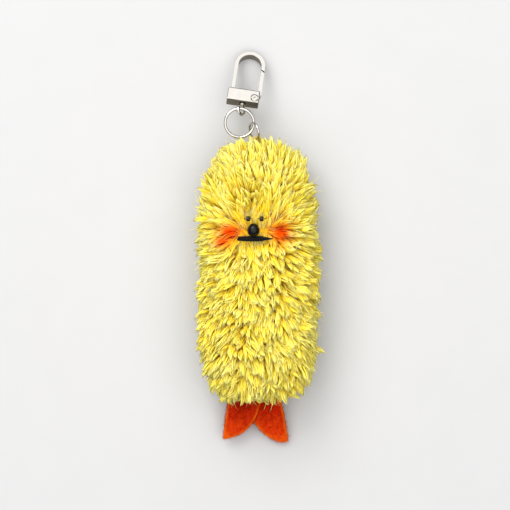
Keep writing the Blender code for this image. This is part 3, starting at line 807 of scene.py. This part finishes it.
def make_fuzz(material):
    """Short fuzz round the beads, and single wisps that stand out of the pile."""

    def face_spacing(points):
        away = np.hypot(points[:, 0] - DISH_CENTRE[0], points[:, 1] - DISH_CENTRE[1])
        return np.where((away < 10) & (points[:, 2] > 24), 0.5, 30.0)

    roots, normals = scatter(face_spacing)
    away = np.hypot(roots[:, 0] - DISH_CENTRE[0], roots[:, 1] - DISH_CENTRE[1])
    keep = (away < 10) & (normals[:, 2] > 0.4)
    keep &= np.hypot((roots[:, 0] + 2.0) / 1.6, (roots[:, 1] - 16.0) / 1.8) > 1
    roots, normals, away = roots[keep], normals[keep], away[keep]
    flow = pile_flow(roots, normals)
    height = 0.75 + 0.14 * away + 0.2 * RANDOM.random(len(roots))
    length = 1.9 + 0.25 * away + 0.6 * RANDOM.random(len(roots))
    loose_hairs("face_fuzz", material, roots, normals, flow, height, length, 0.26, 0.62)

    roots, normals = scatter(lambda points: np.full(len(points), 1.7))
    height = pile_height(roots, normals)
    keep = (height > 4) & (np.abs(roots[:, 2] - 10.8) + (roots[:, 1] > -42) * 20 > 3)
    keep &= (roots[:, 1] < 38) | (np.hypot(roots[:, 0] - TAB_PLACE[0], roots[:, 2] - TAB_PLACE[1]) > 2.6)
    roots, normals, height = roots[keep], normals[keep], height[keep]
    flow = pile_flow(roots, normals) + RANDOM.normal(scale=0.25, size=roots.shape)
    height = height * RANDOM.uniform(0.85, 1.15, len(roots))
    length = LOCK_LENGTH * RANDOM.uniform(0.8, 1.05, len(roots))
    loose_hairs("pile_wisps", material, roots, normals, flow, height, length, 0.2, 0.3)


# ---------------------------------------------------------------- stuffed body


def baked(obj):
    """The object's mesh as its modifiers leave it."""
    depsgraph = bpy.context.evaluated_depsgraph_get()
    return bpy.data.meshes.new_from_object(obj.evaluated_get(depsgraph))


def stuffed(name, inset, back, material):
    """A padded piece: the core's form, blown up a little as stuffed cloth."""
    around_steps, along_steps = 40, 44
    points = form_points(inset, back, around_steps, along_steps)
    obj = build_mesh(name, points, [grid_faces(around_steps, along_steps)], material)
    bm = bmesh.new()
    bm.from_mesh(obj.data)
    bmesh.ops.remove_doubles(bm, verts=bm.verts, dist=0.01 * MM)
    bmesh.ops.recalc_face_normals(bm, faces=bm.faces)
    bm.to_mesh(obj.data)
    bm.free()
    remesh = obj.modifiers.new("remesh", "REMESH")
    remesh.mode = "VOXEL"
    remesh.voxel_size = CLOTH_GRID * MM
    obj.data = baked(obj)
    obj.modifiers.clear()
    rest = np.array([v.co for v in obj.data.vertices])
    cloth = obj.modifiers.new("cloth", "CLOTH")
    cloth.settings.quality = 5
    cloth.settings.use_pressure = True
    cloth.settings.uniform_pressure_force = 4
    cloth.settings.effector_weights.gravity = 0
    cloth.point_cache.frame_start = 1
    cloth.point_cache.frame_end = CLOTH_FRAMES
    for step in range(1, CLOTH_FRAMES + 1):
        bpy.context.scene.frame_set(step)
    moved = np.array([v.co for v in baked(obj).vertices]) - rest
    distance = np.linalg.norm(moved, axis=1, keepdims=True)
    share = np.minimum(1, CLOTH_SWELL * MM / np.maximum(distance, 1e-9))
    rest = rest + moved * share
    obj.modifiers.clear()
    bpy.context.scene.frame_set(1)
    rest[:, 2] = np.maximum(rest[:, 2], back * MM)
    obj.data.vertices.foreach_set("co", rest.astype(np.float32).ravel())
    smoother = obj.modifiers.new("smoother", "SUBSURF")
    smoother.levels = smoother.render_levels = 1
    obj.data = baked(obj)
    obj.modifiers.clear()
    obj.data.materials.clear()
    obj.data.materials.append(material)
    obj.data.shade_smooth()
    verts = np.array([v.co for v in obj.data.vertices]) / MM
    blush = obj.data.attributes.new("blush", "FLOAT", "POINT")
    blush.data.foreach_set("value", blush_at(verts).astype(np.float32))
    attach(obj, "plush")
    return obj


# ---------------------------------------------------------------- face


def dish_height(x, y):
    away = hypot(x - DISH_CENTRE[0], y - DISH_CENTRE[1])
    return DISH_CENTRE[2] - sqrt(DISH_RADIUS**2 - away**2)


def tube_mesh(points, radii, sides):
    """Rings of vertices along a path in mm, closed flat at both ends."""
    points = np.asarray(points, float)
    tangent = unit(np.gradient(points, axis=0))
    side = unit(np.cross(tangent, np.array([[0.0, 0.0, 1.0]])))
    over = np.cross(side, tangent)
    angle = np.linspace(0, 2 * pi, sides, endpoint=False)
    ring = np.cos(angle)[None, :, None] * side[:, None] + np.sin(angle)[None, :, None] * over[:, None]
    verts = (points[:, None] + ring * np.asarray(radii)[:, None, None]).reshape(-1, 3)
    count = len(points)
    quads = grid_faces(sides, count)[:, [0, 3, 2, 1]]
    verts = np.concatenate([verts, points[:1], points[-1:]])
    first, last = len(verts) - 2, len(verts) - 1
    here = np.arange(sides)
    following = (here + 1) % sides
    start = (count - 1) * sides
    opening = np.stack([here, following, np.full(sides, first)], -1)
    ending = np.stack([start + following, start + here, np.full(sides, last)], -1)
    return verts, [quads, opening, ending]


def joined(parts):
    """Several (verts, faces) meshes as one."""
    verts, faces, base = [], [], 0
    for part_verts, part_faces in parts:
        verts.append(part_verts)
        faces += [f + base for f in part_faces]
        base += len(part_verts)
    return np.concatenate(verts), faces


def make_eyes(material):
    """Seed beads lying with their holes along X."""
    for name, x in EYES.items():
        lo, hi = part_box(name)
        centre = (lo + hi) / 2 / MM
        radius = (hi.z - lo.z) / 2 / MM
        middle = (radius + EYE_HOLE) / 2
        steps, sides = 24, 32
        profile = []
        for step in range(steps):
            angle = 2 * pi * step / steps
            along = EYE_HALF_LENGTH * (1 - 0.12 * cos(angle) ** 2) * sin(angle)
            profile.append((along, middle + (radius - middle) * cos(angle)))
        verts = []
        for along, away in profile:
            for turn in range(sides):
                angle = 2 * pi * turn / sides
                place = (centre.x + along, centre.y + away * cos(angle), centre.z + away * sin(angle))
                verts.append(place)
        # The grid's last row joins on to its first
        faces = grid_faces(sides, steps + 1) % (steps * sides)
        bead = build_mesh(name + "_seed_bead", np.array(verts), [faces], material)
        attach(bead, "plush")
        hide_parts(name)


def make_mouth(material):
    """Black yarn: three plies twisted together, with stray fibres along them."""
    parts = []
    steps = 90
    share = np.linspace(0, 1, steps)
    x = MOUTH_LEFT + (MOUTH_RIGHT - MOUTH_LEFT) * share
    swell = 0.8 + 0.2 * np.sin(pi * np.minimum(1, share / 0.9))
    fade = np.where(share < 0.72, 1, 1 - 0.75 * (share - 0.72) / 0.28)
    radius = MOUTH_RADIUS * swell * fade
    middle = [(a, MOUTH_Y, dish_height(a, MOUTH_Y) + 0.3 + r) for a, r in zip(x, radius)]
    middle = np.array(middle)
    for ply in range(3):
        angle = 2 * pi * ply / 3 + share * 2 * pi * 3.2
        offset = np.stack([np.zeros(steps), np.cos(angle), np.sin(angle)], -1)
        path = middle + offset * (radius * 0.42)[:, None]
        lumps = 1 + 0.06 * np.sin(share * 140 + ply)
        parts.append(tube_mesh(path, radius * 0.6 * lumps, 10))
    count = 620
    start = RANDOM.uniform(0, 0.97, count)
    spin = RANDOM.uniform(0, 2 * pi, count)
    length = RANDOM.uniform(0.7, 2.0, count)
    lift = RANDOM.uniform(0.05, 0.45, count)
    rings = 5
    along = np.linspace(0, 1, rings)
    at = np.clip(start[:, None] + along[None] * (length / (MOUTH_RIGHT - MOUTH_LEFT))[:, None], 0, 1.04)
    core = np.stack([np.interp(at, share, middle[:, k]) for k in range(3)], -1)
    core[..., 0] += np.maximum(at - 1, 0) * (MOUTH_RIGHT - MOUTH_LEFT)
    around_radius = np.interp(at, share, radius)
    angle = spin[:, None] + along[None] * RANDOM.uniform(0.4, 1.8, (count, 1))
    out = np.stack([np.zeros_like(angle), np.cos(angle), np.sin(angle)], -1)
    path = core + out * (around_radius * (0.93 + lift[:, None] * along[None] ** 2))[..., None]
    path[..., 1] += (RANDOM.normal(scale=0.12, size=(count, 1))) * along[None] ** 2
    tangent = unit(np.gradient(path, axis=1))
    side = unit(np.cross(out, tangent))
    width = np.full((count, rings), 0.09) * (1 - 0.6 * along[None])
    verts, faces, _ = strand_mesh(path, side, out, width)
    parts.append((verts, faces))
    verts, faces = joined(parts)
    mouth = build_mesh("mouth_yarn_plies", verts, faces, material)
    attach(mouth, "plush")
    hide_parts("mouth_yarn")


# ---------------------------------------------------------------- tail


def arc(centre, radius, start, end, steps):
    angles = [start + (end - start) * step / steps for step in range(steps + 1)]
    return [(centre[0] + radius * cos(a), centre[1] + radius * sin(a)) for a in angles]


def leaf_outlines():
    left = [(-8.6, -43.4), (-10.6, -46.5), (-12.0, -51.0), (-13.2, -58.5), (-14.2, -66.2)]
    left += arc((-13.2, -66.8), 1.0, radians(170), radians(255), 4)
    left += [(-10.4, -67.0), (-7.0, -65.7), (-4.6, -63.8), (-2.1, -60.9), (-0.2, -57.1)]
    left += [(1.6, -50.5), (2.4, -43.4)]
    right = [(-3.6, -43.4), (-5.0, -50.0), (-4.0, -57.0), (-1.9, -61.3), (0.4, -64.3)]
    right += [(3.2, -66.9), (6.4, -68.8), (9.0, -69.5)]
    right += arc((11.0, -68.6), 0.9, radians(255), radians(370), 4)
    right += [(11.2, -63.5), (10.1, -57.5), (8.9, -51.5), (8.2, -46.5), (7.0, -43.4)]
    return left, right


def resampled(outline, step):
    """The closed outline with its points step mm apart."""
    loop = np.array(outline + outline[:1])
    reach = np.concatenate([[0], np.cumsum(np.linalg.norm(np.diff(loop, axis=0), axis=1))])
    count = int(reach[-1] / step)
    at = np.linspace(0, reach[-1], count, endpoint=False)
    return np.stack([np.interp(at, reach, loop[:, k]) for k in range(2)], -1)


def felt_leaf(name, outline, lift, material):
    """A felt leaf: cut outline, rounded cut edge, lumpy faces and loose fibres."""
    loop = resampled(outline, 0.7)
    middle = loop.mean(0)
    inner = 26
    shares = np.concatenate([[1.0, 0.985, 0.955], np.linspace(0.9, 0.06, inner)])
    rings = [middle + (loop - middle) * s for s in shares]
    heights = np.concatenate([[0.0, 0.72, 0.95], np.ones(inner)]) * FELT / 2
    n = len(loop)
    flat = np.concatenate(rings)
    up = np.concatenate([np.full(n, h) for h in heights])
    plan = np.concatenate([flat, flat[n:]])
    level = np.concatenate([up, -up[n:]])
    levels = len(shares)
    faces = []
    here = np.arange(n)
    following = (here + 1) % n
    for ring in range(levels - 1):
        a = ring * n
        faces.append(np.stack([a + here, a + following, a + n + following, a + n + here], -1))
        low_a = 0 if ring == 0 else levels * n + (ring - 1) * n
        low_b = levels * n + ring * n
        faces.append(np.stack([low_a + following, low_a + here, low_b + here, low_b + following], -1))
    top_centre = len(plan)
    plan = np.concatenate([plan, middle[None], middle[None]])
    level = np.concatenate([level, [FELT / 2, -FELT / 2]])
    last = (levels - 1) * n
    low_last = levels * n + (levels - 2) * n
    faces.append(np.stack([last + here, last + following, np.full(n, top_centre)], -1))
    faces.append(np.stack([low_last + following, low_last + here, np.full(n, top_centre + 1)], -1))
    quads = np.concatenate([f for f in faces if f.shape[1] == 4])
    tris = np.concatenate([f for f in faces if f.shape[1] == 3])

    flat3 = np.concatenate([plan, np.zeros((len(plan), 1))], 1)
    lumps = 0.10 * waves(flat3, 1.5, 41) + 0.05 * waves(flat3, 0.8, 42)
    face_side = np.sign(level)
    level = level + face_side * lumps * (np.abs(level) > 0.3 * FELT)
    edge_away = nearest_edge(plan, loop)

    # Stray fibres lie on both faces and stand out of the cut edge
    count = 2600
    seed = RANDOM.integers(0, len(plan) - 2, count)
    start = plan[seed] + RANDOM.normal(scale=0.3, size=(count, 2))
    heading = RANDOM.uniform(0, 2 * pi, count)
    long = RANDOM.uniform(0.5, 1.5, count)
    steps = np.linspace(0, 1, 4)
    bend = heading[:, None] + RANDOM.normal(scale=0.8, size=(count, 1)) * steps[None]
    walk = np.stack([np.cos(bend), np.sin(bend)], -1) * (long[:, None] * steps[None])[..., None]
    fibre_plan = start[:, None] + walk
    fibre_side = np.where(level[seed] >= 0, 1.0, -1.0)
    hug = FELT / 2 - 0.02 + 0.16 * np.sin(pi * steps)[None] * RANDOM.random((count, 1))
    fibre_level = fibre_side[:, None] * hug
    edge_start = loop[RANDOM.integers(0, n, 700)]
    outward = unit(edge_start - middle)
    edge_dir = unit(outward + RANDOM.normal(scale=0.9, size=outward.shape))
    edge_long = RANDOM.uniform(0.25, 0.8, 700)
    edge_plan = edge_start[:, None] + edge_dir[:, None] * (edge_long[:, None] * steps[None])[..., None]
    edge_level = RANDOM.uniform(-0.5, 0.5, (700, 1)) * FELT + 0 * steps[None]
    all_plan = np.concatenate([fibre_plan, edge_plan])
    all_level = np.concatenate([fibre_level, edge_level])
    path = np.concatenate([all_plan, all_level[..., None]], -1)
    tangent = unit(np.gradient(path, axis=1))
    out = np.zeros_like(path)
    out[..., 2] = np.sign(all_level + 1e-6)
    side = unit(np.cross(out, tangent) + 1e-9)
    width = np.full(path.shape[:2], 0.07)
    fibre_verts, fibre_faces, _ = strand_mesh(path, side, out, width, 0.4)

    base = len(plan)
    sheet = np.concatenate([plan, level[:, None]], 1)
    local = np.concatenate([sheet, fibre_verts])
    # Painted shadow of the fur: the leaf darkens from its tips up to the hinge
    out_of_fur_shadow_at = -(local[:, 1] + 46) / 24
    # Painted light: a paler band within about a millimetre of the outline
    painted_edge_light = np.concatenate([np.clip(1.25 - edge_away / 1.0, 0, 1), np.zeros(len(fibre_verts))])
    # The plan is what is seen from above, so lengths along the leaf grow with its droop
    run = (local[:, 1] - TAIL_HINGE[1]) / cos(TAIL_DROOP)
    rise = lift + local[:, 2]
    verts = np.stack(
        [
            local[:, 0],
            TAIL_HINGE[1] + run * cos(TAIL_DROOP) - rise * sin(TAIL_DROOP),
            TAIL_HINGE[2] + run * sin(TAIL_DROOP) + rise * cos(TAIL_DROOP),
        ],
        -1,
    )
    faces = [quads, tris] + [f + base for f in fibre_faces]
    data = {"out_of_fur_shadow": np.clip(out_of_fur_shadow_at, 0, 1), "painted_edge_light": painted_edge_light}
    leaf = build_mesh(name + "_felt", verts, faces, material, data)
    start = tuple(v * MM for v in (0, TAIL_HINGE[1] + 1.2, TAIL_HINGE[2]))
    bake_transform(leaf)
    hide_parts(name)


def nearest_edge(plan, loop):
    """Each point's distance to the outline."""
    gaps = [np.hypot(plan[:, 0] - x, plan[:, 1] - y) for x, y in loop]
    return np.min(gaps, axis=0)


def make_tail():
    lift = (FELT + LEAF_GAP) / 2
    left, right = leaf_outlines()
    felt_leaf("tail_leaf_left", left, lift, felt_material("felt_left", 1.0))
    felt_leaf("tail_leaf_right", right, -lift, felt_material("felt_right", 1.04))


# ---------------------------------------------------------------- rings


def ring_piece(name, radius, wire, split, place, material, body):
    """A fine wire ring with its butt gap, in the CAD ring's own place."""
    steps = 150
    turn = np.linspace(0, 1, steps)
    angle = split + SPLIT_WIDTH / 2 + (2 * pi - SPLIT_WIDTH) * turn
    path = np.stack([radius * np.cos(angle), radius * np.sin(angle), np.zeros(steps)], -1)
    verts, faces = tube_mesh(path, np.full(steps, wire), 20)
    matrix = np.array(place)
    verts = verts @ matrix[:3, :3].T + matrix[:3, 3]
    obj = build_mesh(name + "_wire", verts, faces, material)
    obj.data.set_sharp_from_angle(angle=radians(50))
    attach(obj, body)
    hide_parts(name)


def link_matrix():
    down = Vector((sin(LINK_HEADING), -cos(LINK_HEADING), LINK_SLOPE)).normalized()
    level = Vector((cos(LINK_HEADING), sin(LINK_HEADING), 0))
    across = cos(LINK_LEAN) * level + Vector((0, 0, sin(LINK_LEAN)))
    across = (across - down * across.dot(down)).normalized()
    normal = down.cross(across)
    turn = Matrix((down, across, normal)).transposed().to_4x4()
    return Matrix.Translation(LINK_CENTRE) @ turn


# ---------------------------------------------------------------- studio


def area_light(name, place, aim, size, power, colour=(1, 1, 1)):
    data = bpy.data.lights.new(name, "AREA")
    data.shape = "RECTANGLE"
    data.size, data.size_y = size
    data.energy = power
    data.color = colour
    lamp = add_object(name, data)
    lamp.location = place
    lamp.rotation_mode = "QUATERNION"
    lamp.rotation_quaternion = (Vector(aim) - Vector(place)).to_track_quat("-Z", "Y")


def make_world():
    """A white room overhead that falls off to a darker horizon, for the metal to reflect."""
    world = bpy.data.worlds.new("studio")
    bpy.context.scene.world = world
    world.use_nodes = True
    tree = world.node_tree
    where = tree.nodes.new("ShaderNodeTexCoord").outputs["Generated"]
    split = tree.nodes.new("ShaderNodeSeparateXYZ")
    tree.links.new(where, split.inputs[0])
    ramp = tree.nodes.new("ShaderNodeValToRGB")
    tree.links.new(split.outputs["Z"], ramp.inputs["Fac"])
    levels = ((0.0, 0.04), (0.52, 0.08), (0.78, 1.0), (1.0, 1.25))
    fill_ramp(ramp.color_ramp, [(at, (v, v * 0.995, v * 0.985, 1)) for at, v in levels])
    back = tree.nodes["Background"]
    tree.links.new(ramp.outputs["Color"], back.inputs["Color"])
    back.inputs["Strength"].default_value = ROOM_STRENGTH


def make_studio():
    half = 1.6
    corners = np.array([(-half, -half, 0), (half, -half, 0), (half, half, 0), (-half, half, 0)]) / MM
    floor = build_mesh("floor", corners, [np.array([[0, 1, 2, 3]])], floor_material(), smooth=False)
    make_world()
    area_light("key", (-0.5, 0.86, 1.1), (0, 0, 0.01), (0.85, 0.85), KEY_POWER, (1, 0.99, 0.97))
    area_light("top_card", (0.0, 0.9, 0.6), (0, 0.07, 0.01), (1.2, 0.5), CARD_POWER)
    distance = VIEW_WIDTH / 2 / (SENSOR / 2 / LENS)
    data = bpy.data.cameras.new("camera")
    data.lens = LENS
    data.sensor_width = SENSOR
    camera = add_object("camera", data)
    camera.location = Vector((*VIEW_CENTRE, VIEW_PLANE_Z + distance)) * MM
    bpy.context.scene.camera = camera
    bpy.context.scene.view_settings.view_transform = "Standard"


# ---------------------------------------------------------------- assembly

skin = stuffed("body_skin", PILE_SIDE + 0.35, PILE_BACK + 0.3, skin_material())
filling = stuffed("stuffing_wads", PILE_SIDE + 1.6, PILE_BACK + 1.6, fill_material())
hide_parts("stuffing")
fur = fur_material()
make_pile(fur)
make_fuzz(fur)
make_eyes(eye_material())
make_mouth(yarn_material())
make_tail()
nickel = nickel_material()
ring_place = Matrix.Translation(RING_CENTRE)
ring_piece("jump_ring", RING_RADIUS, RING_WIRE, RING_SPLIT, ring_place, nickel, "ring")
ring_piece("link_ring", LINK_RADIUS, LINK_WIRE, LINK_SPLIT, link_matrix(), nickel, "link")
finishes = {
    bead_material(): ("nose_bead", "nose_washer"),
    yarn_material(): ("eye_thread",),
    nickel: ("gate_pin", "swivel_eye"),
    # The clasp body and gate carry painted dark reflection on their sides
    dark_sides_nickel_material(): ("clasp_body", "gate_lever"),
    steel_material(): ("gate_spring",),
    thread_material(): ("seam_thread_left", "seam_thread_right"),
    tape_material(): ("hanging_tab",),
}
for finish, names in finishes.items():
    for name in names:
        for slot in nodes[name].material_slots:
            slot.material = finish
make_studio()
